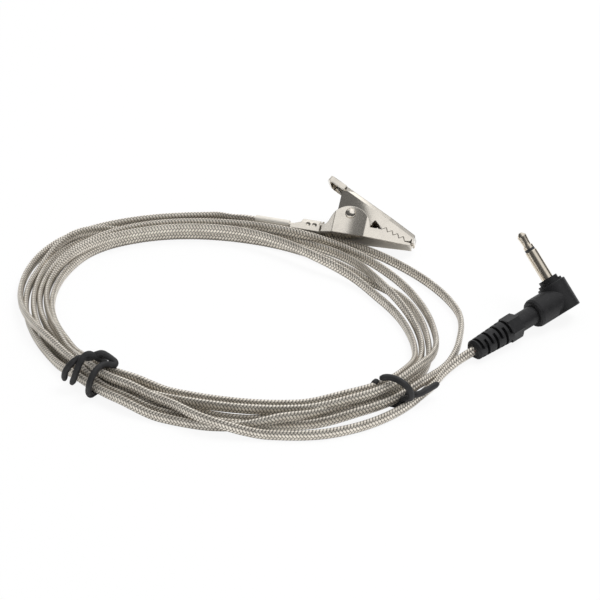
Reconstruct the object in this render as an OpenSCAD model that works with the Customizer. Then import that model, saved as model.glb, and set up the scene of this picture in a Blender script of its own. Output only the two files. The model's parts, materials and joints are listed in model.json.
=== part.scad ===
/* [Cord] */
// Width of the flat braided cord, which stands on edge in the coil
cord_width = 2.2; // [2:0.1:2.4]
// Thickness of the flat braided cord
cord_thick = 1.2; // [1:0.1:1.4]
// Clear gap kept between neighbouring strands of the coil
strand_gap = 0.46; // [0.42:0.02:0.6]

/* [Coil] */
// Mean radius of the coil, at the middle of its strands
coil_radius = 37.2; // [36:0.2:39]
// How far the coil is drawn out into an oval
coil_oval = 4.8; // [3:0.2:6]
// Direction of the oval's long axis
coil_turn = 143; // [135:1:150]
// Extra spread between strands at the two loose sides
side_spread = 0.75; // [0.4:0.05:1]
// How far the one loose loop stands out of the bundle
loose_loop = 7.4; // [6:0.2:8]

/* [Clip] */
// Thickness of the plated steel sheet
sheet = 0.45; // [0.35:0.05:0.5]
// Width over the lower jaw's ears
clip_width = 6; // [5.8:0.1:6.6]
// Width of the nose
nose_width = 3.4; // [3:0.1:3.8]
// Radius of the rivet's shank
rivet_r = 0.8; // [0.7:0.05:0.9]
// Radius of the rivet's domed heads
rivet_head_r = 1.15; // [1:0.05:1.3]
// Spacing of the jaw teeth
tooth_pitch = 1.35; // [1.2:0.05:1.4]
// Depth of the jaw teeth
tooth_depth = 0.75; // [0.5:0.05:0.85]
// How far the clip leans back from upright
clip_lean = 50; // [46:1:54]

/* [Sensor] */
// Length of the steel sleeve that holds the sensing bead
sleeve_length = 7.4; // [7:0.2:9]
// Height of the flat oval sleeve
sleeve_height = 1.7; // [1.6:0.1:2]

/* [Plug] */
// Radius of the jack pin's sleeve contact
pin_r = 1.25; // [1.2:0.05:1.3]
// Length of the jack pin in front of the plug body
pin_length = 10.8; // [10.5:0.1:11.5]
// Radius of the moulded handle
handle_r = 3; // [2.8:0.1:3.2]
// Radius of the barrel that stands across the handle
barrel_r = 3.1; // [3:0.1:3.3]
// Rows of slots in the strain relief
slot_rows = 7; // [5:1:7]

/* [Ties] */
// Diameter of the rubber-covered wire ties
tie_d = 1.2; // [1:0.1:1.3]

/* [Hidden] */
$fn = 48;

// Places of the main groups, in the part's frame
clip_at = [3.75, -0.48, 5.43];
clip_pitch = 2.2;
clip_heading = -14;
plug_at = [45.35, -31.08, 4.4];
plug_roll = 45;
plug_pitch = 5.4;
plug_heading = 221.2;
coil_centre = [-22.55, -34.48];

// Clip, measured from the middle of the rivet: x to the nose, y across, z up
base_z = -4.65;
ear_centre = [0.2, -2.85];
ear_r = 4.5;
upper_ear_r = 2.95;
side_clearance = 0.1;
pivot_clearance = 0.05;
tooth_clearance = 0.06;
tooth_count = 4;
tooth_start = [7.3, -1.9];
tooth_slope = 17.5;
lower_nose_x = 13.7;
upper_nose_x = 14.25;
crimp_from = -10.3;
crimp_to = -5.7;
tongue_end = -12.6;
crimp_wall = 0.42;
lower_stations = [[-5.8, 1.75], [-3.2, clip_width/2], [3.7, clip_width/2], [lower_nose_x, nose_width/2]];
// The upper jaw is one straight plate that slopes down to the nose
plate_slope = 26.57;
plate_top = 4.43;
lever_end = -9;
lever_from = -4.5;
lever_half = 3;
lever_corner = 1.4;
lever_rim = 0.7;
upper_half = clip_width/2 - sheet - side_clearance;
upper_stations = [[-5.1, upper_half], [7.4, upper_half], [13.7, nose_width/2]];

// Flat neck of the sleeve, held in the crimp
neck_z = -3.75;
neck_height = 0.9;
neck_half = 0.95;
sleeve_front = -12.9;
sleeve_back = sleeve_front - sleeve_length;
sleeve_half = 1.4;
sleeve_wall = 0.25;
bead_r = 0.42;
bead_x = sleeve_front - 1.4;
lead_r = 0.15;
lead_y = 0.35;

// Coil: six lanes in two layers, one unbroken run of angle
coil_from = 100;
coil_to = 2125;
rings_per_turn = 24;
ring_step = 360/rings_per_turn;
turn_back = 1080;
corner_swell = 0.6;
right_swell = 0.9;
layer_rise = cord_width + strand_gap;
first_layer_z = cord_width/2;
layer_stagger = 0.6;
tie_left_angle = 217.6;
tie_right_angle = 322.7;
left_rise_angle = 227.5;
right_rise_angle = 317.5;
tie_lift = tie_d + 0.2;
tie_core_r = 0.22;
end_straight = cord_width;

// ---------- paths and tubes ----------

function unit(v) = v/norm(v);
function smooth(x, a, b) = let (t = max(0, min(1, (x - a)/(b - a)))) t*t*(3 - 2*t);
function hump(x, a, b, c, d) = smooth(x, a, b)*(1 - smooth(x, c, d));

// Direction of a path at each of its points
function path_direction(path, i) =
    unit(path[min(i + 1, len(path) - 1)] - path[max(i - 1, 0)]);

// One ring of a tube: the section's x goes sideways and its y goes upwards
function ring(centre, direction, section) =
    let (side = unit(cross(direction, [0, 0, 1])), rise = cross(side, direction))
    [for (p = section) centre + side*p[0] + rise*p[1]];

// A ring that keeps turning with its neighbours, for paths that climb steeply
function carried_sides(path, i = 0, last = [1, 0, 0], done = []) =
    i == len(path) ? done :
    let (d = path_direction(path, i), side = unit(last - d*(last*d)))
    carried_sides(path, i + 1, side, concat(done, [side]));

function round_section(r, sides) = [for (k = [0:sides - 1]) r*[cos(360*k/sides), sin(360*k/sides)]];

// Six-sided outline of the flat cord, with flat top and bottom edges
cord_section = [[cord_thick/2, 0], [cord_thick/4, -cord_width/2], [-cord_thick/4, -cord_width/2],
                [-cord_thick/2, 0], [-cord_thick/4, cord_width/2], [cord_thick/4, cord_width/2]];

function wall_faces(rings, sides, first, flip) = [
    for (i = [0:rings - 2], k = [0:sides - 1])
        let (a = first + i*sides + k, b = first + i*sides + (k + 1)%sides, c = a + sides, d = b + sides)
        each flip ? [[a, b, d], [a, d, c]] : [[a, d, b], [a, c, d]]];

module solid_tube(rings) {
    sides = len(rings[0]);
    last = (len(rings) - 1)*sides;
    polyhedron(
        points = [for (r = rings) each r],
        faces = concat(wall_faces(len(rings), sides, 0, false),
                       [for (k = [1:sides - 2]) [0, k, k + 1]],
                       [for (k = [1:sides - 2]) [last, last + k + 1, last + k]]),
        convexity = 12);
}

module hollow_tube(outer, inner) {
    sides = len(outer[0]);
    count = len(outer);
    first = count*sides;
    last = (count - 1)*sides;
    polyhedron(
        points = concat([for (r = outer) each r], [for (r = inner) each r]),
        faces = concat(wall_faces(count, sides, 0, false), wall_faces(count, sides, first, true),
                       [for (k = [0:sides - 1]) let (n = (k + 1)%sides)
                           each [[k, n, first + n], [k, first + n, first + k]]],
                       [for (k = [0:sides - 1]) let (n = (k + 1)%sides, a = last, b = first + last)
                           each [[a + k, b + n, a + n], [a + k, b + k, b + n]]]),
        convexity = 12);
}

function flat_cord_rings(path) =
    [for (i = [0:len(path) - 1]) ring(path[i], path_direction(path, i), cord_section)];

function wire_rings(path, r, sides) =
    let (across = carried_sides(path))
    [for (i = [0:len(path) - 1])
        let (d = path_direction(path, i), up = cross(d, across[i]))
        [for (p = round_section(r, sides)) path[i] + across[i]*p[0] + up*p[1]]];

// ---------- the coil's route ----------

function side_share(a) = pow(cos(a), 6);
function bundle_radius(a) =
    coil_radius + coil_oval*cos(2*(a - coil_turn)) + corner_swell*cos(4*(a - coil_turn))
    + right_swell*pow(max(0, cos(a + 12)), 8);
function strand_pitch(a) = cord_thick + strand_gap + side_spread*side_share(a);

// Lane of the strand, in strand pitches from the bundle's middle: in, then out again
function lane(a) = abs(a - turn_back)/360 - 1.5;
// 1 in the upper layer and 0 in the lower one
function layer(a) = 1 - smooth(a, turn_back - 90, turn_back + 90);
// Height given by a tie that passes under the bundle
function near_tie(a, at) = let (d = abs((a - at + 180)%360 - 180)) 1 - smooth(d, 8, 24);
function lift(a) = tie_lift*max(near_tie(a, left_rise_angle), a > 2050 ? 0 : near_tie(a, right_rise_angle));

// Slack of single strands, outwards
function slack(a) =
    loose_loop*hump(a, 1760, 1804, 1830, 1880)
    + 2*hump(a, 2025, 2070, 2200, 2210)
    + 1.1*hump(a, 105, 130, 150, 180)
    - 0.85*hump(a, 978, 1020, 1136, 1180);

function coil_point(a) =
    let (r = bundle_radius(a) + lane(a)*strand_pitch(a)
             + layer_stagger*(2*layer(a) - 1)*side_share(a) + slack(a))
    [coil_centre[0] + r*cos(a), coil_centre[1] + r*sin(a),
     first_layer_z + layer_rise*layer(a) + lift(a)];

coil_turns = [for (a = [coil_from:ring_step:coil_to]) coil_point(a)];
coil_start_direction = unit(coil_point(coil_from + 1) - coil_point(coil_from));
coil_end_direction = unit(coil_point(coil_to) - coil_point(coil_to - 1));
coil_start = coil_turns[0] - coil_start_direction*end_straight;
coil_end = coil_turns[len(coil_turns) - 1] + coil_end_direction*end_straight;
coil_path = concat([coil_start], coil_turns, [coil_end]);

// Gap between two rings of the coil: sideways beyond the thickness, or upwards beyond the width
function ring_gap(p, q) = max(norm([p[0] - q[0], p[1] - q[1]]) - cord_thick, abs(p[2] - q[2]) - cord_width);
least_gap = min([for (i = [0:len(coil_turns) - 1])
                 for (j = [i + rings_per_turn/2:1:len(coil_turns) - 1]) ring_gap(coil_turns[i], coil_turns[j])]);
echo(str("least gap of the coil to itself: ", least_gap, " mm"));

// Straight length between the points of a path
function path_length(path) = path == [] ? 0 :
    [for (i = [1:len(path) - 1]) norm(path[i] - path[i - 1])]*[for (i = [1:len(path) - 1]) 1];

// Cord between the sleeve and the coil
clip_end_path = concat(
    [clip_point([sleeve_back, 0, neck_z]), clip_point([sleeve_back - end_straight, 0, neck_z])],
    [[-21.85, 2.97, 3.9]],
    [coil_start - coil_start_direction*end_straight, coil_start]);

// Cord between the coil and the plug
boot_end = 24.5;
plug_end_path = concat(
    [coil_end, coil_end + coil_end_direction*end_straight],
    [[20.85, -53.68, 1.3], [23.35, -50.68, 1.75]],
    [plug_point([boot_end + end_straight, 0, 0]), plug_point([boot_end, 0, 0])]);

echo(str("cord length: ", path_length(clip_end_path) + path_length(coil_path) + path_length(plug_end_path), " mm"));

// ---------- places of the groups ----------

function turn_x(p, a) = [p[0], p[1]*cos(a) - p[2]*sin(a), p[1]*sin(a) + p[2]*cos(a)];
function turn_y(p, a) = [p[0]*cos(a) + p[2]*sin(a), p[1], p[2]*cos(a) - p[0]*sin(a)];
function turn_z(p, a) = [p[0]*cos(a) - p[1]*sin(a), p[0]*sin(a) + p[1]*cos(a), p[2]];
function clip_point(p) = clip_at + turn_z(turn_y(turn_x(p, -clip_lean), clip_pitch), clip_heading);
function plug_point(p) = plug_at + turn_z(turn_y(turn_x(p, plug_roll), plug_pitch), plug_heading);

module in_clip() translate(clip_at) rotate([-clip_lean, clip_pitch, clip_heading]) children();
module in_plug() translate(plug_at) rotate([plug_roll, plug_pitch, plug_heading]) children();

// ---------- clip ----------

// Plan of a tapering channel: half widths at stations along x, drawn in by inset
function channel_plan(stations, inset, past) =
    let (n = len(stations) - 1,
         edge = [for (i = [0:n]) [stations[i][0] + (i == 0 ? -past : i == n ? past : 0), stations[i][1] - inset]])
    concat(edge, [for (i = [n:-1:0]) [edge[i][0], -edge[i][1]]]);

// Side walls of a channel, open at both ends
module channel_walls(stations, height) {
    linear_extrude(height) difference() {
        polygon(channel_plan(stations, 0, 0));
        polygon(channel_plan(stations, sheet, 1));
    }
}

// Extrudes a side view, drawn as x and z, right across the clip
module side_view(points, width = 8) {
    rotate([90, 0, 0]) linear_extrude(width, center = true) polygon(points);
}

// Interlocking tooth line of both jaws, moved up or down by shift
function tooth_line(shift) = [
    for (k = [0:2*tooth_count])
        let (along = k*tooth_pitch/2, off = (k%2 - 0.5)*tooth_depth + shift)
        tooth_start + [along*cos(tooth_slope) + off*sin(tooth_slope), off*cos(tooth_slope) - along*sin(tooth_slope)]];

function plate_z(x, below) = (plate_top - below)/cos(plate_slope) - x*tan(plate_slope);

// Front teeth across the nose, as y and z
front_teeth = 3;
front_pitch = 1;
front_depth = 0.6;
front_z = -3.75;
function front_line(shift) = [
    for (k = [0:2*front_teeth])
        [(k - front_teeth)*front_pitch/2, front_z + (k%2 - 0.5)*front_depth + shift]];

module front_wall(x, shift, far_z) {
    line = front_line(shift);
    half = nose_width/2;
    translate([x - sheet, 0, 0]) rotate([90, 0, 90]) linear_extrude(sheet)
        polygon(concat([[-half, far_z], [-half, line[0][1]]], line,
                       [[half, line[len(line) - 1][1]], [half, far_z]]));
}

// Folded barrel round the neck: the near wall is low and dented, the far one is rolled over it
module crimp_barrel() {
    lobe_r = 0.78;
    half = neck_half + crimp_wall;
    difference() {
        translate([crimp_from, 0, 0]) rotate([90, 0, 90]) linear_extrude(crimp_to - crimp_from) union() {
            translate([-half, base_z]) square([2*half, 1.5]);
            translate([half - 2*lobe_r, base_z + 1.4]) square([2*lobe_r, 0.8]);
            translate([lobe_r - half, base_z + 1.5]) circle(r = lobe_r);
            translate([half - lobe_r, base_z + 2.2]) circle(r = lobe_r);
        }
        neck_solid(crimp_from - 1, crimp_to + 1);
        for (x = [crimp_from + 1.5, crimp_from + 2.9])
            translate([x, -half - 0.35, base_z + 1.35]) sphere(r = 0.6);
        translate([crimp_from + 3.9, -3, base_z + 1.6]) cube([0.3, 6, 2]);
    }
}

// Open trough between the sleeve and the crimp, deeper towards the crimp
module tongue() difference() {
    side_view([[tongue_end, base_z], [tongue_end, base_z + 0.75], [crimp_from + 0.1, base_z + 1.7],
               [crimp_from + 0.1, base_z]], 2*(neck_half + crimp_wall));
    translate([tongue_end - 1, -neck_half, base_z + sheet]) cube([crimp_from - tongue_end + 2, 2*neck_half, 2]);
}

module lower_jaw() color("silver") in_clip() {
    difference() {
        union() {
            translate([0, 0, base_z]) linear_extrude(sheet) polygon(channel_plan(lower_stations, 0, 0));
            intersection() {
                translate([0, 0, base_z]) channel_walls(lower_stations, 7);
                union() {
                    side_view(concat(
                        [[-5.8, base_z], [-5.8, -2.95], [-5, -2.95], [-4.5, -2.4], [-4.1, -1.6], [3.9, -2.1], [4.7, -2.35]],
                        tooth_line(-tooth_clearance),
                        [[lower_nose_x, front_z - 0.3], [lower_nose_x, base_z]]));
                    translate([ear_centre[0], 0, ear_centre[1]]) rotate([90, 0, 0])
                        cylinder(r = ear_r, h = 8, center = true);
                }
            }
            front_wall(lower_nose_x, -tooth_clearance, base_z);
            tongue();
            crimp_barrel();
        }
        rotate([90, 0, 0]) cylinder(r = rivet_r, h = 8, center = true);
    }
}

module lever_outline(inset) {
    x0 = lever_end + lever_corner;
    y0 = lever_half - lever_corner;
    r = lever_corner - inset;
    for (s = [-1, 1]) translate([x0, s*y0]) circle(r = r);
    translate([x0 - r, -y0]) square([lever_from - x0 + r, 2*y0]);
    translate([x0, -y0 - r]) square([lever_from - x0 - inset, 2*(y0 + r)]);
}

module upper_jaw() color("silver") in_clip() {
    difference() {
        union() {
            rotate([0, plate_slope, 0]) {
                translate([0, 0, plate_top - sheet]) linear_extrude(sheet) union() {
                    polygon(channel_plan(upper_stations, 0, 0));
                    lever_outline(0);
                }
                translate([0, 0, plate_top - sheet - lever_rim]) linear_extrude(lever_rim) difference() {
                    lever_outline(0);
                    lever_outline(sheet);
                }
            }
            intersection() {
                rotate([0, plate_slope, 0]) translate([0, 0, plate_top - 9]) channel_walls(upper_stations, 9);
                union() {
                    side_view(concat(
                        [[-3, 9], [-2.9, 3.4], [-upper_ear_r, 0], [0, -upper_ear_r], [3.4, -2.15], [4.3, -2.1], [5.4, -0.5]],
                        tooth_line(tooth_clearance),
                        [[upper_nose_x + 1, front_z + 0.3], [upper_nose_x + 1, 9]]));
                    rotate([90, 0, 0]) cylinder(r = upper_ear_r, h = 8, center = true);
                }
            }
            front_wall(upper_nose_x, tooth_clearance, plate_z(upper_nose_x, 0.05));
        }
        rotate([90, 0, 0]) cylinder(r = rivet_r + pivot_clearance, h = 8, center = true);
    }
}

module jaw_rivet() color("gainsboro") in_clip() {
    dome = 0.65;
    dome_r = (rivet_head_r*rivet_head_r + dome*dome)/(2*dome);
    half = clip_width/2;
    rotate([90, 0, 0]) cylinder(r = rivet_r, h = clip_width, center = true);
    for (s = [0, 180]) rotate([90, 0, s]) intersection() {
        translate([0, 0, half + dome - dome_r]) sphere(r = dome_r);
        translate([0, 0, half]) cylinder(r = rivet_head_r, h = dome);
    }
}

// Torsion spring: coils round the rivet, one leg on the base and one under the lever
spring_wire = 0.45;
spring_r = 1.5;
spring_pitch = 0.6;
spring_turns = 3;
low_leg = [-4.4, base_z + sheet + spring_wire/2];
high_leg = [-4.6, plate_z(-4.6, sheet) - spring_wire/2 - 0.05];
low_touch = atan2(low_leg[1], low_leg[0]) + 360 + acos(spring_r/norm(low_leg));
high_touch = atan2(high_leg[1], high_leg[0]) - acos(spring_r/norm(high_leg)) + 360;
spring_sweep = high_touch + 360*spring_turns - low_touch;
spring_rings = 8*spring_turns + 4;
spring_half = spring_pitch*spring_sweep/720;
spring_path = concat(
    [[low_leg[0], -spring_half, low_leg[1]]],
    [for (k = [0:spring_rings])
        let (a = low_touch + spring_sweep*k/spring_rings)
        [spring_r*cos(a), spring_half*(2*k/spring_rings - 1), spring_r*sin(a)]],
    [[high_leg[0], spring_half, high_leg[1]]]);

module jaw_spring() color("dimgray") in_clip() solid_tube(wire_rings(spring_path, spring_wire/2, 6));

// ---------- sensor end of the cord ----------

// Flat oval bar along x, from its half width, height and middle
module oval_bar(from, to, half, height, z) {
    translate([from, 0, z]) rotate([90, 0, 90]) linear_extrude(to - from) union() {
        for (s = [-1, 1]) translate([s*(half - height/2), 0]) circle(d = height);
        translate([height/2 - half, -height/2]) square([2*half - height, height]);
    }
}

module neck_solid(from, to) oval_bar(from, to, neck_half, neck_height, neck_z);

module sensor_sleeve() color("lightgray") in_clip() {
    difference() {
        oval_bar(sleeve_back, sleeve_front, sleeve_half, sleeve_height, neck_z);
        sleeve_bore(sleeve_back - 1);
    }
    neck_solid(sleeve_front, crimp_to - 0.2);
}

module sleeve_bore(from) {
    oval_bar(from, sleeve_front - 0.6, sleeve_half - sleeve_wall, sleeve_height - 2*sleeve_wall, neck_z);
}

module sensor_potting() color("khaki") in_clip() difference() {
    sleeve_bore(sleeve_back);
    bead_and_leads_space();
}

module bead_and_leads_space() {
    translate([bead_x, 0, neck_z]) sphere(r = bead_r);
    lead_pair();
}

module lead_pair() {
    for (s = [-1, 1]) translate([sleeve_back, s*lead_y, neck_z])
        rotate([0, 90, 0]) cylinder(r = lead_r, h = bead_x - sleeve_back);
}

module thermistor_bead() color("darkred") in_clip() translate([bead_x, 0, neck_z]) sphere(r = bead_r);

module bead_leads() color("tan") in_clip() difference() {
    lead_pair();
    translate([bead_x, 0, neck_z]) sphere(r = bead_r);
}

// ---------- cord ----------

module lead_clip_end() color("rosybrown") solid_tube(flat_cord_rings(clip_end_path));
module lead_coil() color("rosybrown") solid_tube(flat_cord_rings(coil_path));
module lead_plug_end() color("rosybrown") solid_tube(flat_cord_rings(plug_end_path));

// ---------- plug, measured from where its axes cross: x to the cord, z to the pin's tip ----------

barrel_low = -2.95;
barrel_top = 3.4;
pin_from = 4.7;
pin_tip = pin_from + pin_length;
handle_end = 7.7;
boot_from = 4.6;
boot_neck_r = 1.95;
boot_neck_end = 12.4;
collar_end = 15.4;
collar_r = 2.7;
relief_r = 2.5;
relief_end_r = 2.08;
insulator_r = 0.85;
rod_r = 0.5;
tip_ring_z = pin_tip - 3;
insulator_z = pin_tip - 3.7;
flange_r = 1.9;
flange_top = 2.2;
stem_r = 1.55;
stem_top = pin_from - 0.15;
ring_r = 1.07;
wire_r = 0.3;
wire_y = 0.45;
mould_r = 2.2;
lug_thick = 0.3;

// Turned contact along z from radius and height pairs
module turned(profile) rotate_extrude() polygon(profile);

module plug_tip() color("gold") in_plug() turned([
    [0, -0.6], [rod_r, -0.6], [rod_r, insulator_z], [ring_r, insulator_z], [ring_r, tip_ring_z - 0.1],
    [ring_r - 0.1, tip_ring_z], [0.82, tip_ring_z + 0.1], [0.82, tip_ring_z + 0.5], [1, pin_tip - 0.85],
    [0.94, pin_tip - 0.65], [0.35, pin_tip], [0, pin_tip]]);

module plug_tip_insulator() color("black") in_plug() turned([
    [rod_r, 0.8], [insulator_r, 0.8], [insulator_r, insulator_z - 0.55], [ring_r, insulator_z - 0.55],
    [ring_r, insulator_z], [rod_r, insulator_z]]);

module plug_sleeve() color("gold") in_plug() turned([
    [insulator_r, 1.5], [flange_r, 1.5], [flange_r, flange_top], [stem_r, flange_top], [stem_r, stem_top],
    [pin_r, stem_top], [pin_r, insulator_z - 0.7], [pin_r - 0.1, insulator_z - 0.55],
    [insulator_r, insulator_z - 0.55]]);

module plug_rear_insulator() color("ivory") in_plug() turned([
    [insulator_r, 0.8], [1.5, 0.8], [1.5, 1.2], [insulator_r, 1.2]]);

// Lug plate round the contact, with a tab towards the cord
module solder_lug(z, plate_r, hole_r, side) {
    translate([0, 0, z]) linear_extrude(lug_thick) difference() {
        union() {
            circle(r = plate_r);
            translate([0, side*wire_y - wire_r - 0.1]) square([3, 2*wire_r + 0.2]);
        }
        circle(r = hole_r);
    }
}

module tip_solder_lug() color("goldenrod") in_plug() solder_lug(-0.4, 1.6, rod_r, 1);
module sleeve_solder_lug() color("goldenrod") in_plug() solder_lug(1.2, 1.6, insulator_r, -1);

// Wire from its lug to the end of the boot
module inner_wire(side, z) {
    translate([1.8, side*wire_y, z]) rotate([0, 90, 0]) cylinder(r = wire_r, h = 1.6);
    translate([3.4, side*wire_y, z]) sphere(r = wire_r);
    translate([3.4, side*wire_y, min(z, 0)]) cylinder(r = wire_r, h = abs(z));
    translate([3.4, side*wire_y, 0]) sphere(r = wire_r);
    translate([3.4, side*wire_y, 0]) rotate([0, 90, 0]) cylinder(r = wire_r, h = boot_end - 3.4);
}

module signal_wire() color("firebrick") in_plug() inner_wire(1, -0.4 - wire_r);
module return_wire() color("midnightblue") in_plug() inner_wire(-1, 1.2 - wire_r);

// Everything that the mouldings are shot round
module inner_works(margin) {
    translate([0, 0, -0.6]) cylinder(r = flange_r, h = flange_top + 0.6);
    cylinder(r = stem_r, h = stem_top);
    translate([0, -1.1, -1.2]) cube([3.8, 2.2, 2.8]);
    for (s = [-1, 1]) translate([3, s*wire_y, 0]) rotate([0, 90, 0]) cylinder(r = wire_r, h = margin);
}

module mould_block() {
    translate([0, 0, barrel_low + 0.9]) cylinder(r = mould_r, h = barrel_top - barrel_low - 1.4);
    translate([0, -1.6, -1.7]) cube([boot_from, 3.2, 3.4]);
}

module plug_inner_mould() color("whitesmoke") in_plug() difference() {
    mould_block();
    inner_works(boot_from);
}

module plug_body() color("#1c1c1e") in_plug() difference() {
    union() {
        rotate([0, 90, 0]) turned([
            [0, 0], [handle_r, 0], [handle_r, handle_end - 0.7], [handle_r - 0.2, handle_end - 0.2],
            [handle_r - 0.6, handle_end], [0, handle_end]]);
        turned([[0, barrel_low], [barrel_r - 0.15, barrel_low], [barrel_r, barrel_low + 0.15],
                [barrel_r, barrel_top - 0.15], [barrel_r - 0.15, barrel_top], [0, barrel_top]]);
        translate([0, 0, barrel_top]) cylinder(r = 2.6, h = 0.5);
        translate([0, 0, barrel_top]) cylinder(r = 2.05, h = pin_from - barrel_top);
    }
    mould_block();
    translate([boot_from, 0, 0]) rotate([0, 90, 0]) cylinder(r = boot_neck_r, h = 9);
    turned([[0, 0], [stem_r, 0], [stem_r, stem_top], [pin_r, stem_top], [pin_r, pin_from + 1], [0, pin_from + 1]]);
}

// Pairs of arc slots, each row turned a quarter from the last
module relief_slots() {
    pitch = 1.24;
    for (k = [0:slot_rows - 1]) translate([collar_end + 0.2 + k*pitch, 0, 0]) rotate([90*(k%2) + 45, 0, 0])
        rotate([0, 90, 0]) difference() {
            cylinder(r = 4, h = 0.62);
            translate([0, 0, -1]) cylinder(r = 1.55, h = 3);
            translate([-4.5, -0.8, -1]) cube([9, 1.6, 3]);
        }
}

module cable_boot() color("#202023") in_plug() difference() {
    union() {
        rotate([0, 90, 0]) turned([[0, boot_from], [boot_neck_r, boot_from], [boot_neck_r, boot_neck_end + 0.3],
                                   [0, boot_neck_end + 0.3]]);
        translate([boot_neck_end, 0, 0]) rotate([0, 90, 0]) cylinder(r = collar_r, h = collar_end - boot_neck_end, $fn = 6);
        difference() {
            rotate([0, 90, 0]) turned([[0, collar_end - 0.1], [relief_r, collar_end - 0.1],
                [relief_end_r, boot_end - 0.5], [relief_end_r - 0.5, boot_end], [0, boot_end]]);
            relief_slots();
        }
    }
    for (s = [-1, 1]) translate([3, s*wire_y, 0]) rotate([0, 90, 0]) cylinder(r = wire_r, h = boot_end);
}

// ---------- ties ----------

// Point beside the bundle: along the strands, outwards from its middle, and up
function bundle_point(angle, p) =
    let (r = bundle_radius(angle) + p[1])
    [coil_centre[0] + r*cos(angle) - p[0]*sin(angle), coil_centre[1] + r*sin(angle) + p[0]*cos(angle), p[2]];

tie_left_route = [
    [-0.2, 5, 2.3], [-0.5, 4.5, 4.4], [0, 3.4, 6.2], [0.6, 2, 7.2], [1, 0.6, 7.6], [1.8, -0.8, 8.5],
    [3.2, -1.4, 8.2], [4.3, -0.6, 7.2], [5.2, 0.8, 7.05], [5.8, 2.2, 6.9], [6, 3.2, 6.1], [5.8, 3.6, 4.4],
    [5.4, 3.4, 2.2], [5, 3, 0.9], [4.6, 1.6, 0.62], [4, 0, 0.62], [3.4, -2.3, 0.62], [3.1, -3.5, 1],
    [2.9, -3.85, 2.2], [2.7, -3.75, 4.4], [2.5, -3.75, 6.3], [2.4, -2.7, 7.1], [2.1, -0.8, 7],
    [2.2, 0.8, 6.95], [2.4, 2.2, 6.9], [2.6, 3.3, 6], [2.2, 3.9, 4.2], [1.6, 4.5, 2.4]];

tie_right_route = [
    [-6.2, -1.6, 6.9], [-5.2, -1.5, 7.3], [-4.2, -0.9, 7.6], [-3.5, 0.2, 7.5], [-3.1, 1.2, 7.1],
    [-2.9, 2.1, 6.4], [-2.8, 2.5, 5], [-2.7, 2.5, 3.2], [-2.6, 2.4, 1.6], [-2.4, 1.7, 0.8],
    [-2.1, 0.2, 0.62], [-1.8, -1.6, 0.62], [-1.6, -3.6, 0.8], [-1.5, -4.9, 1.9], [-1.4, -5.3, 3.4],
    [-1.4, -5.15, 5.4], [-1.3, -4.4, 6.8], [-1.2, -2.2, 7], [-1, -0.4, 7], [-0.7, 1.2, 7.1],
    [-0.2, 2.25, 6.5], [0.3, 2.5, 5.2], [1.2, 2.7, 4], [2.8, 3.2, 3.2], [4.6, 4, 2.95], [6, 4.6, 2.95]];

module tie_sheath(angle, route) {
    path = [for (p = route) bundle_point(angle, p)];
    hollow_tube(wire_rings(path, tie_d/2, 6), wire_rings(path, tie_core_r + 0.03, 6));
}

module tie_core(angle, route) {
    solid_tube(wire_rings([for (p = route) bundle_point(angle, p)], tie_core_r, 6));
}

module tie_left_sheath() color("#1a1a1c") tie_sheath(tie_left_angle, tie_left_route);
module tie_left_core() color("gray") tie_core(tie_left_angle, tie_left_route);
module tie_right_sheath() color("#1a1a1c") tie_sheath(tie_right_angle, tie_right_route);
module tie_right_core() color("gray") tie_core(tie_right_angle, tie_right_route);

lower_jaw();
upper_jaw();
jaw_rivet();
jaw_spring();
sensor_sleeve();
sensor_potting();
thermistor_bead();
bead_leads();
lead_clip_end();
lead_coil();
lead_plug_end();
plug_tip();
plug_tip_insulator();
plug_sleeve();
plug_rear_insulator();
tip_solder_lug();
sleeve_solder_lug();
signal_wire();
return_wire();
plug_inner_mould();
plug_body();
cable_boot();
tie_left_sheath();
tie_left_core();
tie_right_sheath();
tie_right_core();
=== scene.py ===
"""Looks of a clip-on temperature probe lead.

It has a toothed spring clip on a flat sensor sleeve, a coiled cord with a metal braid, a right-angle jack
plug and two wire ties. Places are in mm, and the pieces are made in metres.
"""

import json
from math import acos, atan2, cos, degrees, pi, radians, sin, sqrt, tan

import bmesh
import bpy
from mathutils import Euler, Matrix, Vector


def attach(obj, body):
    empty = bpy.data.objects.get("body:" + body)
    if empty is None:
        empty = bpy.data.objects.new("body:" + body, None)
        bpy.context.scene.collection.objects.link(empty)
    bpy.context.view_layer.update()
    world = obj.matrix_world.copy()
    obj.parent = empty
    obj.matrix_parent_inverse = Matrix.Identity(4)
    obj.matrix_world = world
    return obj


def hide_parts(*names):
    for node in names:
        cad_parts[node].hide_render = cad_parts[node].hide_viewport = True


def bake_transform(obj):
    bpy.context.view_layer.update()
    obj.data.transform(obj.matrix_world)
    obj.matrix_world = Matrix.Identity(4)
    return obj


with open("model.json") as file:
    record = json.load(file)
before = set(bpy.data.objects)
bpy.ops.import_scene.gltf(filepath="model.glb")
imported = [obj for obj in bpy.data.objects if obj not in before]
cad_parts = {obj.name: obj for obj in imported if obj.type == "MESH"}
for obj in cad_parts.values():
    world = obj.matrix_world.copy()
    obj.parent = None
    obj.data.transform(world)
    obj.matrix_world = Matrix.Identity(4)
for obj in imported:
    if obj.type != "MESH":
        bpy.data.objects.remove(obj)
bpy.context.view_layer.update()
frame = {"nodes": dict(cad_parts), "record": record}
nodes = frame["nodes"]
MM = 0.001

# ---------------------------------------------------------------- places of the groups, in mm


def placed(at, turns):
    return Matrix.Translation(at) @ Euler([radians(t) for t in turns], "XYZ").to_matrix().to_4x4()


CLIP_AT, CLIP_TURNS = (3.75, -0.48, 5.43), (-50, 2.2, -14)
PLUG_AT, PLUG_TURNS = (45.35, -31.08, 4.4), (45, 5.4, 221.2)
CLIP = placed(CLIP_AT, CLIP_TURNS)
PLUG = placed(PLUG_AT, PLUG_TURNS)


def clip_point(x, y, z):
    return CLIP @ Vector((x, y, z))


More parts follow.
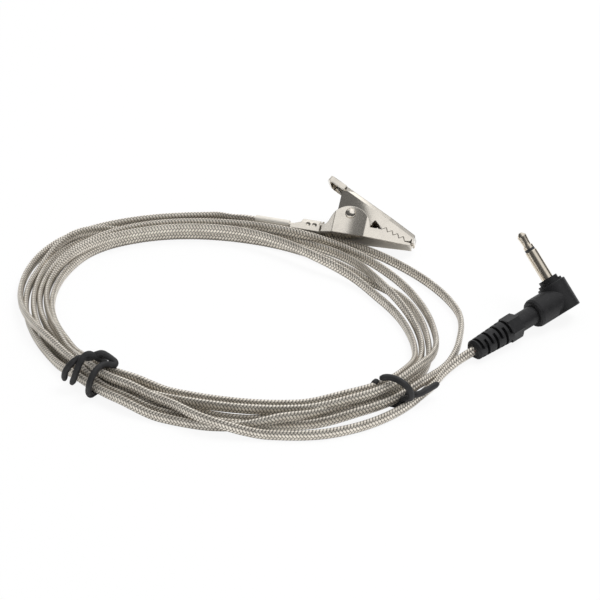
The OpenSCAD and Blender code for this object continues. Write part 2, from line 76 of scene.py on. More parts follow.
def plug_point(x, y, z):
    return PLUG @ Vector((x, y, z))


# ---------------------------------------------------------------- the coil's route, in mm and degrees

CORD_WIDTH, CORD_THICK = 2.2, 1.2
COIL_CENTRE = (-22.55, -34.48)
COIL_FROM, COIL_TO, COIL_STEP = 100, 2125, 2.5
LOW, TOP = 1.1, 3.3  # heights of a strand on the floor and of one on top of the bundle

# The bundle's middle is a rounded oval, long towards COIL_LONG, with a soft corner towards CORNER_AT.
BUNDLE_R = 37.2
COIL_LONG, OVAL_BY, SQUARE_BY = 143, 4.8, 0.6
CORNER_AT, CORNER_BY, CORNER_POWER = -12, 0.9, 8

# The ties pass under the bundle and lift it.
TIE_LIFT = 1.3
LEFT_LIFT_AT, RIGHT_LIFT_AT = 227.5, 317.5
LIFT_FULL, LIFT_NONE = 8, 24
LAST_PASS_FROM = 2050  # past this angle the cord lies outside the right tie

# How the cord lies in each turn of the coil: angle, distance outwards from the bundle's middle, height.
TURNS = [
    [
        (100, 1.9, TOP), (108, 1.4, TOP), (120, 1.5, 3.1), (140, 4, 1.9), (165, 3.2, 1.5), (192, 1.3, 3.6),
        (206, 0.6, TOP), (230, 1.5, LOW), (262, 0.8, LOW), (290, 0.7, LOW), (304, 1.4, LOW), (316, 2.2, 1.2),
        (328, 2.9, 1.3), (350, 6.9, LOW),
    ],
    [
        (5, 9.6, LOW), (35, 8, LOW), (60, 5.5, LOW), (90, 3.5, LOW), (115, 2.9, LOW), (137, 2.2, LOW),
        (160, 0.3, LOW), (200, 0.3, LOW), (235, 0, 1.4), (250, -0.6, TOP), (290, -1.4, TOP), (312, 0.4, TOP),
        (332, 1.1, TOP), (345, 2.1, 2), (355, 2.6, LOW),
    ],
    [
        (30, 4.4, LOW), (50, 3.5, 2), (70, 1, TOP), (100, -0.8, TOP), (135, -2.2, TOP), (150, -1.4, 2.2),
        (160, -1, LOW), (195, -1.6, LOW), (225, -1, LOW), (250, -1.5, LOW), (275, -1, LOW), (300, -2, LOW),
        (316, -1.2, LOW), (345, -0.7, LOW),
    ],
    [
        (8, -1.9, TOP), (22, -1.2, 3.1), (42, 1.8, 1.2), (60, 1.7, LOW), (95, 0.7, LOW), (118, 1.3, LOW),
        (137, 2.3, 3.3), (155, 1.8, LOW), (200, 2, LOW), (220, 2.5, LOW), (240, 2.8, LOW), (264, 2.5, LOW),
        (277, 2.1, 1.9), (288, 1, 3.2), (301, -0.5, 2.2), (311, -0.4, LOW), (330, 1.1, LOW), (350, 0.7, LOW),
    ],
    [
        (12, 1.1, LOW), (30, -0.9, LOW), (75, -1.5, LOW), (120, -2.5, LOW), (135, -2.6, LOW),
        (150, -3.7, LOW), (165, -3.9, LOW), (195, -2.7, 2.4), (222, -0.9, TOP), (250, -2.8, TOP),
        (290, -3.2, TOP), (318, -0.8, TOP), (335, -1.5, 1.9), (352, -2.7, LOW),
    ],
    [
        (15, -3.2, LOW), (32, -3.2, 1.8), (52, -4.5, TOP), (85, -2.8, TOP), (120, -3.7, TOP), (145, -2.8, 3),
        (160, -2.4, 1.5), (178, -2.7, 1.7), (192, -1.8, 3.3), (205, -0.7, 3.4), (225, 0.6, TOP),
        (252, 0.7, 3.6), (266, 3.3, 3.2), (282, 3.7, LOW), (298, 4.7, LOW), (325, 4, LOW),
    ],
]
OUT, UP = 1, 2  # columns of a place
LAY = [(360 * turn + angle, out, up) for turn, places in enumerate(TURNS) for angle, out, up in places]


def smooth(x, a, b):
    t = max(0.0, min(1.0, (x - a) / (b - a)))
    return t * t * (3 - 2 * t)


def cosd(a):
    return cos(radians(a))


def sind(a):
    return sin(radians(a))


def bundle_radius(a):
    from_long = a - COIL_LONG
    corner = max(0.0, cosd(a - CORNER_AT)) ** CORNER_POWER
    return BUNDLE_R + OVAL_BY * cosd(2 * from_long) + SQUARE_BY * cosd(4 * from_long) + CORNER_BY * corner


def near_tie(a, at):
    """1 beside a tie, falling smoothly to 0 away from it."""
    away = abs((a - at + 180) % 360 - 180)
    return 1 - smooth(away, LIFT_FULL, LIFT_NONE)


def slope(i, column):
    """How fast a column of LAY changes with the angle at its row i."""
    before, after = LAY[max(i - 1, 0)], LAY[min(i + 1, len(LAY) - 1)]
    return (after[column] - before[column]) / (after[0] - before[0])


def laid(a, column):
    """Smooth value of a column of LAY at the angle a."""
    i = max(k for k in range(len(LAY) - 1) if LAY[k][0] <= a)
    gap = LAY[i + 1][0] - LAY[i][0]
    t = (a - LAY[i][0]) / gap
    rise = LAY[i + 1][column] - LAY[i][column]
    lead_in = slope(i, column) * gap * t * (1 - t) ** 2
    lead_out = slope(i + 1, column) * gap * t * t * (1 - t)
    return LAY[i][column] + rise * t * t * (3 - 2 * t) + lead_in - lead_out


def coil_point(a):
    radius = bundle_radius(a) + laid(a, OUT)
    at_right = 0 if a > LAST_PASS_FROM else near_tie(a, RIGHT_LIFT_AT)
    lift = TIE_LIFT * max(near_tie(a, LEFT_LIFT_AT), at_right)
    height = max(LOW, laid(a, UP)) + lift
    return Vector((COIL_CENTRE[0] + radius * cosd(a), COIL_CENTRE[1] + radius * sind(a), height))


# ---------------------------------------------------------------- paths and tubes

SPLINE_PARTS = 24  # straight parts between two points of a curve, before it is cut into equal steps


def spline(points, step):
    """Smooth curve through the points, in equal steps."""
    ends = [points[0] * 2 - points[1]] + list(points) + [points[-1] * 2 - points[-2]]
    fine = []
    for p0, p1, p2, p3 in zip(ends, ends[1:], ends[2:], ends[3:]):
        t1 = sqrt((p1 - p0).length)
        t2 = t1 + sqrt((p2 - p1).length)
        t3 = t2 + sqrt((p3 - p2).length)
        for i in range(SPLINE_PARTS):
            t = t1 + (t2 - t1) * i / SPLINE_PARTS
            a1 = p0 * (1 - t / t1) + p1 * (t / t1)
            a2 = p1 * ((t2 - t) / (t2 - t1)) + p2 * ((t - t1) / (t2 - t1))
            a3 = p2 * ((t3 - t) / (t3 - t2)) + p3 * ((t - t2) / (t3 - t2))
            b1 = a1 * ((t2 - t) / t2) + a2 * (t / t2)
            b2 = a2 * ((t3 - t) / (t3 - t1)) + a3 * ((t - t1) / (t3 - t1))
            fine.append(b1 * ((t2 - t) / (t2 - t1)) + b2 * ((t - t1) / (t2 - t1)))
    fine.append(points[-1].copy())
    return equal_steps(fine, step)


def equal_steps(points, step):
    """The same line with its points a step apart."""
    total = sum((b - a).length for a, b in zip(points, points[1:]))
    count = max(2, round(total / step))
    wanted, done, out = total / count, 0.0, [points[0].copy()]
    for a, b in zip(points, points[1:]):
        reach = (b - a).length
        while len(out) < count and done + reach >= wanted * len(out) - 1e-9:
            out.append(a.lerp(b, (wanted * len(out) - done) / reach))
        done += reach
    out.append(points[-1].copy())
    return out


UPRIGHT = Vector((0, 0, 1))


def directions(path):
    return [(path[min(i + 1, len(path) - 1)] - path[max(i - 1, 0)]).normalized() for i in range(len(path))]


def carried_ups(path):
    """Up directions that turn as little as they can along the path."""
    ups = []
    up = UPRIGHT
    for d in directions(path):
        up = (up - d * up.dot(d)).normalized()
        ups.append(up)
    return ups


def oval(width, height, power, sides):
    """Outline of a rounded section in the plane of side and up. A power under 1 makes it squarer."""
    out = []
    for k in range(sides):
        c, s = cos(2 * pi * k / sides), sin(2 * pi * k / sides)
        x = width / 2 * abs(c) ** power * (1 if c >= 0 else -1)
        y = height / 2 * abs(s) ** power * (1 if s >= 0 else -1)
        out.append((x, y))
    return out


def tube(name, path, ups, outline, scale=None):
    """A closed tube: its outline is extruded from ring to ring. Its UV map is in mm, around and along."""
    bm = bmesh.new()
    along = directions(path)

    def station(i):
        side = along[i].cross(ups[i]).normalized()
        rise = side.cross(along[i])
        k = 1.0 if scale is None else scale(i / (len(path) - 1))
        return [(path[i] + side * x * k + rise * y * k) * MM for x, y in outline]

    count = len(outline)
    ring = [bm.verts.new(p) for p in station(0)]
    edges = [bm.edges.new((ring[k], ring[(k + 1) % count])) for k in range(count)]
    rings = [ring]
    for i in range(1, len(path)):
        made = bmesh.ops.extrude_edge_only(bm, edges=edges)["geom"]
        edges = [g for g in made if isinstance(g, bmesh.types.BMEdge)]
        new = set(g for g in made if isinstance(g, bmesh.types.BMVert))
        ring = [next(e.other_vert(v) for e in v.link_edges if e.other_vert(v) in new) for v in ring]
        for v, p in zip(ring, station(i)):
            v.co = p
        rings.append(ring)
    lengths = [0.0]
    for a, b in zip(path, path[1:]):
        lengths.append(lengths[-1] + (b - a).length)
    rounds = [0.0]
    for k in range(count):
        a, b = Vector(outline[k]), Vector(outline[(k + 1) % count])
        rounds.append(rounds[-1] + (b - a).length)
    place = {v: (i, k) for i, r in enumerate(rings) for k, v in enumerate(r)}
    uv = bm.loops.layers.uv.new("UVMap")
    for f in bm.faces:
        f.smooth = True
        seam = {place[v][1] for v in f.verts} == {0, count - 1}
        for corner in f.loops:
            i, k = place[corner.vert]
            corner[uv].uv = (rounds[count] if seam and k == 0 else rounds[k], lengths[i])
    for r in (rings[0], rings[-1]):
        rim = [bm.edges.get((r[k], r[(k + 1) % count])) for k in range(count)]
        for e in rim:
            e.smooth = False
        bmesh.ops.contextual_create(bm, geom=rim)
    bmesh.ops.recalc_face_normals(bm, faces=bm.faces)
    return finished(name, bm)


def finished(name, bm):
    """An object in the scene, made of the mesh that was built."""
    mesh = bpy.data.meshes.new(name)
    bm.to_mesh(mesh)
    bm.free()
    piece = bpy.data.objects.new(name, mesh)
    bpy.context.scene.collection.objects.link(piece)
    return piece


# ---------------------------------------------------------------- shader maths


class Wire:
    """A value in a material: each operator adds its Math node."""

    def __init__(self, tree, socket):
        self.tree, self.socket = tree, socket

    def maths(self, operation, *values):
        return node(self.tree, "ShaderNodeMath", {"operation": operation}, dict(enumerate(values)))

    def __add__(self, other):
        return self.maths("ADD", self, other)

    def __radd__(self, other):
        return self.maths("ADD", other, self)

    def __sub__(self, other):
        return self.maths("SUBTRACT", self, other)

    def __rsub__(self, other):
        return self.maths("SUBTRACT", other, self)

    def __mul__(self, other):
        return self.maths("MULTIPLY", self, other)

    def __rmul__(self, other):
        return self.maths("MULTIPLY", other, self)

    def __truediv__(self, other):
        return self.maths("DIVIDE", self, other)

    def floor(self):
        return self.maths("FLOOR", self)

    def absolute(self):
        return self.maths("ABSOLUTE", self)

    def cosine(self):
        return self.maths("COSINE", self)

    def root(self):
        return self.maths("SQRT", self)

    def below(self, other):
        return self.maths("LESS_THAN", self, other)

    def above_zero(self):
        return self.maths("MAXIMUM", self, 0.0)

    def modulo(self, other):
        return self.maths("FLOORED_MODULO", self, other)

    def ramp(self, low, high):
        """0 below low, 1 above high, smooth between."""
        return node(
            self.tree,
            "ShaderNodeMapRange",
            {"interpolation_type": "SMOOTHSTEP"},
            {"Value": self, "From Min": low, "From Max": high},
        )


def node(tree, kind, settings=(), values=(), out=0):
    """Adds a node: its settings come first, then its sockets' values or links."""
    made = tree.nodes.new(kind)
    for key, value in dict(settings).items():
        setattr(made, key, value)
    for key, value in dict(values).items():
        if isinstance(value, Wire):
            tree.links.new(value.socket, made.inputs[key])
        else:
            made.inputs[key].default_value = value
    return Wire(tree, made.outputs[out])


COLOUR_A, COLOUR_B, COLOUR_OUT = 6, 7, 2  # a Mix node's sockets for colours
RELIEF_STRENGTH = 1.04


class Finish:
    """A material being built: a Principled shader, its coordinates in mm and the patterns on them."""

    def __init__(self, name, colour, roughness, metallic=0.0, at=(0, 0, 0), turns=(0, 0, 0), **constants):
        self.material = bpy.data.materials.new(name)
        self.material.use_nodes = True
        self.tree = self.material.node_tree
        self.shader = self.tree.nodes["Principled BSDF"]
        self.shader.inputs["Base Color"].default_value = (*colour, 1)
        self.shader.inputs["Roughness"].default_value = roughness
        self.shader.inputs["Metallic"].default_value = metallic
        for key, value in constants.items():
            self.shader.inputs[key.replace("_", " ")].default_value = value
        coordinates = node(self.tree, "ShaderNodeTexCoord", out="Object")
        turned = node(
            self.tree,
            "ShaderNodeMapping",
            {"vector_type": "TEXTURE"},
            {
                "Vector": coordinates,
                "Location": [x * MM for x in at],
                "Rotation": [radians(t) for t in turns],
            },
        )
        in_mm = {0: turned, "Scale": 1000}
        self.place = node(self.tree, "ShaderNodeVectorMath", {"operation": "SCALE"}, in_mm)

    def axes(self):
        """x, y and z in mm."""
        parts = node(self.tree, "ShaderNodeSeparateXYZ", (), {0: self.place}).socket.node
        return [Wire(self.tree, s) for s in parts.outputs]

    def noise(self, scale, detail=2.0, stretch=(1, 1, 1), rough=0.5):
        """Cloudy pattern with about as many patches in a mm as its scale, before it is stretched."""
        place = self.place
        if stretch != (1, 1, 1):
            stretched = {0: place, 1: stretch}
            place = node(self.tree, "ShaderNodeVectorMath", {"operation": "MULTIPLY"}, stretched)
        return node(
            self.tree,
            "ShaderNodeTexNoise",
            (),
            {"Vector": place, "Scale": scale, "Detail": detail, "Roughness": rough},
        )

    def mix(self, share, low, high):
        """A colour between two colours."""
        low, high = [x if isinstance(x, Wire) else (*x, 1) for x in (low, high)]
        values = {0: share, COLOUR_A: low, COLOUR_B: high}
        return node(self.tree, "ShaderNodeMix", {"data_type": "RGBA"}, values, out=COLOUR_OUT)

    def feed(self, name, wire):
        self.tree.links.new(wire.socket, self.shader.inputs[name])

    def relief(self, height, depth, under=None):
        """Bumps the surface by height times depth in mm, over the normals from another node."""
        values = {"Height": height, "Distance": depth * MM, "Strength": RELIEF_STRENGTH}
        if under:
            values["Normal"] = under
        self.feed("Normal", node(self.tree, "ShaderNodeBump", (), values))


# The clip's pressed faces, in mm of its own axes: x towards the nose, y across, z up.
LEVER_RIDGE, RIDGE_SLANT, LEVER_SOFT = 4.0, 0.5, 2.2  # a ridge along which the lever's side bows outwards
JAW_VALLEY, JAW_SOFT = 0.3, 1  # a valley across the lower jaw's ears
FACE_TILT = 0.11
LEVER_FALL = 0.5  # how much the lever's top line falls for each mm towards the nose
ROLL_FROM, ROLL_TILT = 4.15, 0.55
TONGUE_FROM, TONGUE_TILT = 5.0, 0.3
NECK_FROM, NECK_TO, NECK_TILT = -6.4, -3.3, 0.45
NECK_SOFT = 0.2
NECK_TOP = (0.5, 1.5)
EAR_PLANE, EAR_SOFT = 2.5, 0.03
EAR_END = (3.5, 6.5)
EDGE_SOFT, EDGE_SAMPLES = 0.2, 6
SPANGLE_DEPTH = 0.013


def plated(name, colour, roughness, at, turns):
    """Bright nickel on pressed sheet, with bowed faces, a rolled edge, soft corners and a fine spangle."""
    f = Finish(name, colour, roughness, 1.0, at, turns)
    x, y, z = f.axes()
    spangle = f.noise(5.0, 3.0, rough=0.75)
    patch = f.noise(0.35, 2.0)
    ear = y.absolute().ramp(EAR_PLANE - EAR_SOFT, EAR_PLANE + EAR_SOFT) * (1 - x.ramp(*EAR_END))
    neck = (1 - x.ramp(NECK_TO - NECK_SOFT, NECK_TO + NECK_SOFT)) * (1 - z.ramp(*NECK_TOP))
    lower = 1 - (1 - ear) * (1 - neck)
    from_ridge = x + z * RIDGE_SLANT - LEVER_RIDGE
    from_valley = x - JAW_VALLEY
    ridge = (from_ridge * from_ridge + LEVER_SOFT).root() * -FACE_TILT
    bend = ((NECK_TO - x).above_zero() - (NECK_FROM - x).above_zero()) * NECK_TILT
    valley = (from_valley * from_valley + JAW_SOFT).root() * FACE_TILT + bend
    rolled = (x * LEVER_FALL + z - ROLL_FROM).above_zero() * -ROLL_TILT
    tongue = (z - TONGUE_FROM).above_zero() * -TONGUE_TILT
    face = (ridge + rolled + tongue) * (1 - lower) + valley * lower
    dull = spangle.ramp(0.42, 0.72) * 0.6 + patch.ramp(0.4, 0.7) * 0.4
    f.feed("Base Color", f.mix(dull, colour, [c * 0.84 for c in colour]))
    f.feed("Roughness", roughness * (dull * 0.5 + 0.75))
    soft_edges = node(f.tree, "ShaderNodeBevel", {"samples": EDGE_SAMPLES}, {"Radius": EDGE_SOFT * MM})
    f.relief(face + spangle * SPANGLE_DEPTH, 1.0, under=soft_edges)
    return f.material


def drawn_wire(
    name, colour, roughness, at=(0, 0, 0), turns=(0, 0, 0), stretch=(0.4, 3, 3), depth=0.008, metallic=1.0
):
    """Drawn or turned metal with fine lines, long where the stretch is small."""
    f = Finish(name, colour, roughness, metallic, at, turns)
    lines = f.noise(3.0, 3.0, stretch=stretch, rough=0.6)
    f.feed("Base Color", f.mix(lines.ramp(0.35, 0.75), colour, [c * 0.8 for c in colour]))
    f.feed("Roughness", roughness * (lines * 0.6 + 0.7))
    f.relief(lines, depth)
    return f.material


def moulded(name, colour, roughness, grain_depth, at=(0, 0, 0), turns=(0, 0, 0), **constants):
    """Moulded plastic or rubber with a fine spark grain and faint scuffs."""
    f = Finish(name, colour, roughness, 0.0, at, turns, **constants)
    grain = f.noise(6.0, 4.0, rough=0.65)
    scuff = f.noise(0.8, 3.0)
    f.feed("Base Color", f.mix(scuff.ramp(0.5, 0.8), colour, [c * 1.35 + 0.004 for c in colour]))
    f.feed("Roughness", roughness * (scuff * 0.35 + 0.82))
    f.relief(grain, grain_depth)
    return f.material


CORD_SECTION = oval(CORD_THICK, CORD_WIDTH, 0.9, 18)
NEXT_CORNERS = CORD_SECTION[1:] + CORD_SECTION[:1]
GIRTH = sum((Vector(a) - Vector(b)).length for a, b in zip(CORD_SECTION, NEXT_CORNERS))
BRAID_COLUMN = GIRTH / 6  # six bundles of wires wind to the right round the cord, and six to the left
BRAID_PICK = 0.68
BRAID_REPEAT = 4.0  # a bundle passes over two others, then under two
BRAID_WIRES = 4
BRAID_DEPTH = 0.115
BRAID_BRIGHT, BRAID_SHADED = (0.98, 0.92, 0.82), (0.84, 0.78, 0.69)
# The darkest braid colour is painted shade, laid in the gaps between the bundles.
BRAID_PLAIN, BRAID_GAP_SHADE = (0.5, 0.47, 0.43), (0.08, 0.07, 0.06)


def braided(name):
    """Tubular braid on the cord's own UV map in mm. Its bundles of wires cross slantwise, and its colour
    darkens with painted shade from their crests into the gaps between them.
    """
    f = Finish(name, BRAID_PLAIN, 0.3, 0.75)
    place = node(f.tree, "ShaderNodeUVMap", {"uv_map": "UVMap"})
    parts = node(f.tree, "ShaderNodeSeparateXYZ", (), {0: place}).socket.node
    around, along = Wire(f.tree, parts.outputs[0]), Wire(f.tree, parts.outputs[1])
    right = along / BRAID_PICK + around / BRAID_COLUMN
    left = along / BRAID_PICK - around / BRAID_COLUMN
    right_cell, left_cell = right.floor(), left.floor()
    over = (right_cell - left_cell).modulo(BRAID_REPEAT).below(BRAID_REPEAT / 2)
    across = (right - right_cell) * over + (left - left_cell) * (1 - over) - 0.5
    right_float = (left - right_cell + 2).modulo(BRAID_REPEAT)
    left_float = (right - left_cell - 1).modulo(BRAID_REPEAT)
    lengthways = (right_float * over + left_float * (1 - over) - 2) / 2
    crown = (1 - across * across * 4).root()
    arch = (lengthways * pi).cosine()
    wires = (across * (2 * pi * BRAID_WIRES)).cosine()
    height = crown * (0.35 + 0.65 * arch) + 0.05 * wires
    shade = f.noise(0.35, 2.0).ramp(0.3, 0.7)
    wire_colour = f.mix(shade, BRAID_BRIGHT, BRAID_SHADED)
    # Painted shade: the colour follows the relief's height, dark in the gaps and down the bundles' sides,
    # with the wire's colour on the crests.
    f.feed("Base Color", f.mix(height.ramp(0.12, 0.8), BRAID_GAP_SHADE, wire_colour))
    f.relief(height, BRAID_DEPTH)
    return f.material


# ---------------------------------------------------------------- camera

FOCAL_LENGTH, SENSOR_WIDTH = 157.2, 36
CAMERA_AT, CAMERA_TILT = (-0.00735, -0.48263, 0.28616), 58

lens = bpy.data.cameras.new("camera")
lens.lens = FOCAL_LENGTH
lens.sensor_width = SENSOR_WIDTH
lens.clip_start, lens.clip_end = 0.01, 20
camera = bpy.data.objects.new("camera", lens)
camera.location = CAMERA_AT
camera.rotation_euler = (radians(CAMERA_TILT), 0, 0)
bpy.context.scene.collection.objects.link(camera)
bpy.context.scene.camera = camera

# ---------------------------------------------------------------- the braided cord

CORD_STEP = 0.8
TWIST_FROM, TWIST_TO = 2, 12  # where the cord turns from the sleeve's slant to lying upright

coil_steps = round((COIL_TO - COIL_FROM) / COIL_STEP)
coil_line = [coil_point(COIL_FROM + COIL_STEP * i) for i in range(coil_steps + 1)]
coil_in = (coil_line[1] - coil_line[0]).normalized()
coil_out = (coil_line[-1] - coil_line[-2]).normalized()
clip_end = [
    clip_point(-19.3, 0, -3.75),
    clip_point(-20.3, 0, -3.75),
    clip_point(-22.5, 0, -3.75),
    Vector((-21.85, 2.85, 3.6)),
    coil_line[0] - coil_in * 2 * CORD_WIDTH,
    coil_line[0] - coil_in * CORD_WIDTH,
]
plug_end = [
    coil_line[-1] + coil_out * CORD_WIDTH,
    coil_line[-1] + coil_out * 2 * CORD_WIDTH,
    Vector((20.85, -53.68, 1.3)),
    Vector((23.35, -50.68, 1.75)),
    plug_point(26.7, 0, 0),
    plug_point(24.5, 0, 0),
    plug_point(23.5, 0, 0),
]
cord_line = spline(clip_end + coil_line + plug_end, CORD_STEP)
sleeve_wide = CLIP.to_3x3() @ Vector((0, -1, 0))
cord_ups = []
for i in range(len(cord_line)):
    turned = smooth(i * CORD_STEP, TWIST_FROM, TWIST_TO)
    cord_ups.append(sleeve_wide.lerp(UPRIGHT, turned).normalized())
cord = tube("braided_cord", cord_line, cord_ups, CORD_SECTION)
cord.data.materials.append(braided("metal_braid_weave"))
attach(cord, "clip_base")
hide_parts("lead_clip_end", "lead_coil", "lead_plug_end")

# ---------------------------------------------------------------- wire ties

TIE_D, TIE_WIRE_D = 1.3, 0.44
TIE_STEP = 0.25
TIE_END, TIE_ROUNDED_BY = 0.6, 3  # an end's share of the full width, and the steps until it is full
WIRE_SHOWS = 0.12
TIE_LEFT_AT, TIE_RIGHT_AT = 217.6, 322.7

# Each tie's route beside the bundle: along the strands, outwards from the bundle's middle, height.
TIE_LEFT = [
    (-0.8, 4.9, 2), (-0.2, 4.9, 4.2), (0.3, 3.9, 5.8), (0.7, 2.4, 6.7), (1.3, 1.4, 6.8), (2, 0.4, 6.8),
    (2.7, -0.6, 7.5), (3.3, -1.5, 7.7), (4, -2.1, 7.3), (5, -2.5, 6.9), (6, -2.7, 6.5), (6.4, -2.2, 6.3),
    (5.5, -1.5, 6.3), (5, -0.6, 6.3), (5.2, 0.8, 6.2), (5.6, 2.2, 5.5), (5.8, 3.1, 4.4), (5.8, 3.5, 3),
    (5.5, 3.4, 1.7), (5.2, 2.8, 0.8), (4.9, 1.9, 0.62), (4.3, 0.2, 0.62), (3.7, -1.2, 0.66), (3.2, -2.2, 1.3),
    (2.9, -2.5, 2.6), (2.8, -2.4, 4.6), (2.8, -1.9, 6), (2.9, -0.9, 6.5), (2.6, 0, 7.4), (2.2, 0.8, 7.9),
    (1.9, 1.7, 7.6), (1.9, 2.8, 6.4), (1.9, 3.7, 4.9), (1.7, 4.2, 3.3), (1.3, 4.6, 2),
]
TIE_RIGHT = [
    (-4.7, -1, 6.6), (-3.9, 0.1, 6.9), (-3.4, 1.6, 6.9), (-3.4, 3.3, 6.7), (-3.2, 4.4, 6), (-2.9, 5, 4.8),
    (-2.7, 4.9, 3.5), (-2.7, 4, 2.9), (-2.7, 3.1, 2.4), (-2.7, 2.5, 1.5), (-2.8, 2, 0.7), (-3.3, 0.5, 0.62),
    (-4.3, -1, 0.66), (-5, -2, 1.3), (-5.3, -2.3, 2.8), (-5.4, -2.2, 4.2), (-5.4, -2, 5.1), (-4.9, -1.8, 5.6),
    (-4.5, -2, 5.1), (-4.5, -2.3, 4.3), (-4.2, -2.3, 3), (-3.8, -2.1, 1.5), (-3.1, -1.2, 0.66),
    (-2.4, 0.2, 0.62), (-1.8, 1.5, 0.62), (-1.5, 2.3, 0.9), (-1.4, 2.6, 1.7), (-1.3, 3.1, 2.6),
    (-1, 3.9, 2.9), (-0.5, 4.8, 3), (0.3, 5.2, 3), (1.4, 5.4, 3), (3.5, 5.6, 2.9), (5.2, 5.8, 2.9),
]


def bundle_point(angle, along, out, up):
    """Point beside the bundle, no lower than a tie that lies on the floor."""
    radius = bundle_radius(angle) + out
    x = COIL_CENTRE[0] + radius * cosd(angle) - along * sind(angle)
    y = COIL_CENTRE[1] + radius * sind(angle) + along * cosd(angle)
    return Vector((x, y, max(up, TIE_D / 2)))


def tie(side, angle, route, rubber, wire):
    """A wire tie: a rubber cover and the bendable wire in it, which shows a little at both ends."""
    line = spline([bundle_point(angle, *p) for p in route], TIE_STEP)
    last = len(line) - 1

    def rounded(t):
        edge = min(t, 1 - t) * last
        return TIE_END + (1 - TIE_END) * smooth(edge, -1, TIE_ROUNDED_BY)

    ups = carried_ups(line)
    cover = tube(f"tie_{side}_cover", line, ups, oval(TIE_D, TIE_D, 1, 14), rounded)
    cover.data.materials.append(rubber)
    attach(cover, "clip_base")
    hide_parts(f"tie_{side}_sheath")
    first, final = (line[0] - line[1]).normalized(), (line[-1] - line[-2]).normalized()
    inner = [line[0] + first * WIRE_SHOWS] + line + [line[-1] + final * WIRE_SHOWS]
    core = tube(f"tie_{side}_wire", inner, carried_ups(inner), oval(TIE_WIRE_D, TIE_WIRE_D, 1, 8))
    core.data.materials.append(wire)
    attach(core, "clip_base")
    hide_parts(f"tie_{side}_core")


tie_rubber = moulded("tie_rubber_smooth", (0.022, 0.022, 0.023), 0.55, 0.01, Specular_IOR_Level=0.4)
tie_wire = drawn_wire("tie_wire_annealed", (0.45, 0.44, 0.42), 0.4)
tie("left", TIE_LEFT_AT, TIE_LEFT, tie_rubber, tie_wire)
tie("right", TIE_RIGHT_AT, TIE_RIGHT, tie_rubber, tie_wire)

# ---------------------------------------------------------------- torsion spring

SHEET = 0.45
JAW_BOTTOM = -4.65
LEVER_TOP, LEVER_SLOPE = 4.43, 26.57
SPRING_WIRE, SPRING_R, SPRING_PITCH, SPRING_TURNS = 0.45, 1.5, 0.6, 3
SPRING_PARTS, SPRING_STEP = 96, 0.2
LOW_LEG_X, HIGH_LEG_X, HIGH_LEG_GAP = -4.4, -4.6, 0.05

# The lower leg's end rests on the bottom of the lower jaw, and the upper one's lies under the lever's plate.
plate_z = (LEVER_TOP - SHEET) / cosd(LEVER_SLOPE) - HIGH_LEG_X * tan(radians(LEVER_SLOPE))
low_leg = (LOW_LEG_X, JAW_BOTTOM + SHEET + SPRING_WIRE / 2)
high_leg = (HIGH_LEG_X, plate_z - SPRING_WIRE / 2 - HIGH_LEG_GAP)


def bearing(leg):
    return degrees(atan2(leg[1], leg[0]))


def to_touch(leg):
    """Angle between a leg's end and the place where the leg leaves the coil."""
    return degrees(acos(SPRING_R / Vector(leg).length))


low_touch = bearing(low_leg) + 360 + to_touch(low_leg)
high_touch = bearing(high_leg) - to_touch(high_leg) + 360
sweep = high_touch + 360 * SPRING_TURNS - low_touch
half = SPRING_PITCH * sweep / 360 / 2


def spring_point(share):
    angle = low_touch + sweep * share
    return clip_point(SPRING_R * cosd(angle), half * (2 * share - 1), SPRING_R * sind(angle))


spring_coil = [spring_point(k / SPRING_PARTS) for k in range(SPRING_PARTS + 1)]
low_end = clip_point(low_leg[0], -half, low_leg[1])
high_end = clip_point(high_leg[0], half, high_leg[1])
spring_line = spline([low_end] + spring_coil + [high_end], SPRING_STEP)
spring = tube("spring_wire", spring_line, carried_ups(spring_line), oval(SPRING_WIRE, SPRING_WIRE, 1, 12))
spring.data.materials.append(drawn_wire("spring_steel_drawn", (0.42, 0.41, 0.39), 0.3, CLIP_AT, CLIP_TURNS))

# The spring is baked into place as built and attached to no body, and the CAD spring is hidden.
coil_edge = half - SPRING_WIRE / 2
clip_point(0, -coil_edge, 0) * MM
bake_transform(spring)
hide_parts("jaw_spring")

# ---------------------------------------------------------------- finishes of the CAD nodes

ON_CLIP = {"at": CLIP_AT, "turns": CLIP_TURNS}
ON_PLUG = {"at": PLUG_AT, "turns": PLUG_TURNS}
TURNED = {"stretch": (0.5, 0.5, 3), "depth": 0.0012}
MATT = {"Specular_IOR_Level": 0.3}

finishes = {
    "clip_plating": plated("clip_nickel", (0.86, 0.81, 0.73), 0.16, **ON_CLIP),
    "rivet_plating": plated("rivet_nickel", (0.92, 0.87, 0.79), 0.14, **ON_CLIP),
    "sleeve_steel": drawn_wire("sleeve_satin_steel", (0.88, 0.84, 0.76), 0.36, metallic=0.55, **ON_CLIP),
    "potting_resin": moulded("potting_cured_resin", (0.62, 0.56, 0.40), 0.45, 0.02, **ON_CLIP),
    "bead_coat": moulded("bead_dipped_coat", (0.30, 0.08, 0.05), 0.2, 0.004, **ON_CLIP),
    "lead_wire": drawn_wire("lead_tinned_wire", (0.62, 0.56, 0.48), 0.3, **ON_CLIP),
    "contact_plating": drawn_wire("contact_nickel", (0.80, 0.73, 0.62), 0.2, **TURNED, **ON_PLUG),
    "insulator_ring": moulded("insulator_black", (0.03, 0.03, 0.03), 0.35, 0.006, **ON_PLUG),
    "insulator_washer": moulded("insulator_ivory", (0.85, 0.83, 0.76), 0.4, 0.006, **ON_PLUG),
    "lug_brass": drawn_wire("lug_stamped_brass", (0.72, 0.58, 0.30), 0.3, **ON_PLUG),
    "signal_insulation": moulded("signal_red", (0.55, 0.10, 0.08), 0.35, 0.006, **ON_PLUG),
    "return_insulation": moulded("return_blue", (0.08, 0.10, 0.28), 0.35, 0.006, **ON_PLUG),
    "inner_moulding": moulded("inner_mould_white", (0.80, 0.79, 0.74), 0.5, 0.015, **ON_PLUG),
    "plug_moulding": moulded("plug_soft_black", (0.013, 0.013, 0.014), 0.46, 0.012, **MATT, **ON_PLUG),
}
slot_of = {s["node"]: s["material_slot"] for s in frame["record"]["subparts"]}
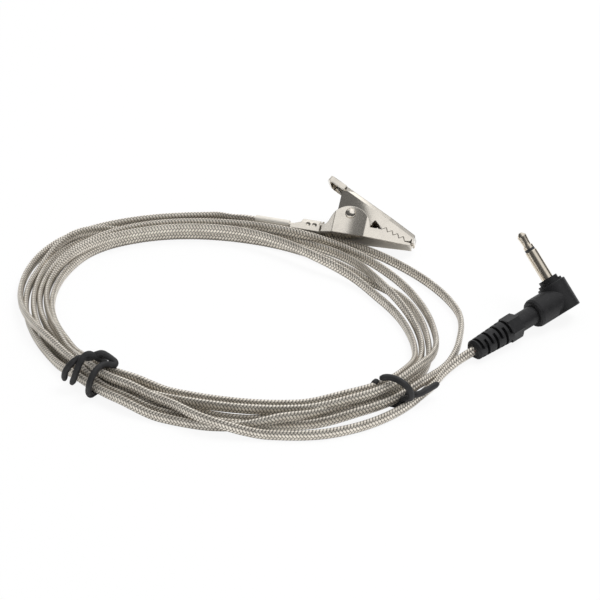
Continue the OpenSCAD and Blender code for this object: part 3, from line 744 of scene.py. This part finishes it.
for name, solid in nodes.items():
    finish = finishes.get(slot_of[name])
    if finish and not solid.hide_render:
        for i in range(len(solid.data.materials)):
            solid.data.materials[i] = finish

[p * MM for p in cord_line]

# ---------------------------------------------------------------- floor, backdrop and light

FLOOR_SIZE, FLOOR_Z = 3, -0.0001
FLOOR_GREY = 0.8
FLOOR_GLOW = 0.9

bm = bmesh.new()
bmesh.ops.create_grid(bm, x_segments=1, y_segments=1, size=FLOOR_SIZE)
bmesh.ops.translate(bm, vec=(0, 0, FLOOR_Z), verts=bm.verts)
floor_piece = finished("floor", bm)
paper = bpy.data.materials.new("floor_paper")
paper.use_nodes = True
tree = paper.node_tree
matt = tree.nodes["Principled BSDF"]
matt.inputs["Base Color"].default_value = (FLOOR_GREY, FLOOR_GREY, FLOOR_GREY, 1)
matt.inputs["Roughness"].default_value = 0.9
matt.inputs["Specular IOR Level"].default_value = 0.0
glow = node(tree, "ShaderNodeEmission", (), {"Color": (1, 1, 1, 1), "Strength": 1.0})
ray = node(tree, "ShaderNodeLightPath", out="Is Camera Ray")
shown = node(tree, "ShaderNodeMixShader", (), {0: ray * FLOOR_GLOW, 1: Wire(tree, matt.outputs[0]), 2: glow})
tree.links.new(shown.socket, tree.nodes["Material Output"].inputs[0])
floor_piece.data.materials.append(paper)

world = bpy.data.worlds.new("studio")
world.use_nodes = True
bpy.context.scene.world = world
tree = world.node_tree
rays = node(tree, "ShaderNodeLightPath")
camera_ray = Wire(tree, rays.socket.node.outputs["Is Camera Ray"])
glossy_ray = Wire(tree, rays.socket.node.outputs["Is Glossy Ray"])
toward = node(tree, "ShaderNodeTexCoord", out="Generated")


def facing(direction):
    """Cosine between the looked-at direction and another one."""
    both = {0: toward, 1: Vector(direction).normalized()}
    return node(tree, "ShaderNodeVectorMath", {"operation": "DOT_PRODUCT"}, both, out=1)


# The camera sees white, reflections see a bright ceiling and a bright wall, and other rays a soft sky.
overhead = facing((0.35, -0.05, 0.93)).ramp(0.70, 0.88)
back_wall = facing((0.0, 0.86, 0.5)).ramp(0.7, 0.95)
room = facing((0, 0, 1)).ramp(-0.1, 0.9)
mirrored = 0.05 + 0.08 * room + 0.8 * overhead + 0.85 * back_wall
plain = 0.45 + 0.35 * room
level = glossy_ray * mirrored + (1 - glossy_ray) * plain
sky = tree.nodes["Background"]
tree.links.new((camera_ray + (1 - camera_ray) * level).socket, sky.inputs["Strength"])
sky.inputs["Color"].default_value = (1, 1, 1, 1)


def softbox(name, at, aim, size, power):
    lamp = bpy.data.lights.new(name, "AREA")
    lamp.shape = "RECTANGLE"
    lamp.size, lamp.size_y = size
    lamp.energy = power
    holder = bpy.data.objects.new(name, lamp)
    holder.location = at
    holder.rotation_euler = (Vector(aim) - Vector(at)).to_track_quat("-Z", "Y").to_euler()
    bpy.context.scene.collection.objects.link(holder)
    holder.visible_glossy = False


softbox("key_light", (0.3, 0.05, 0.8), (0, 0, 0), (0.45, 0.45), 5.0)

bpy.context.scene.view_settings.view_transform = "Standard"
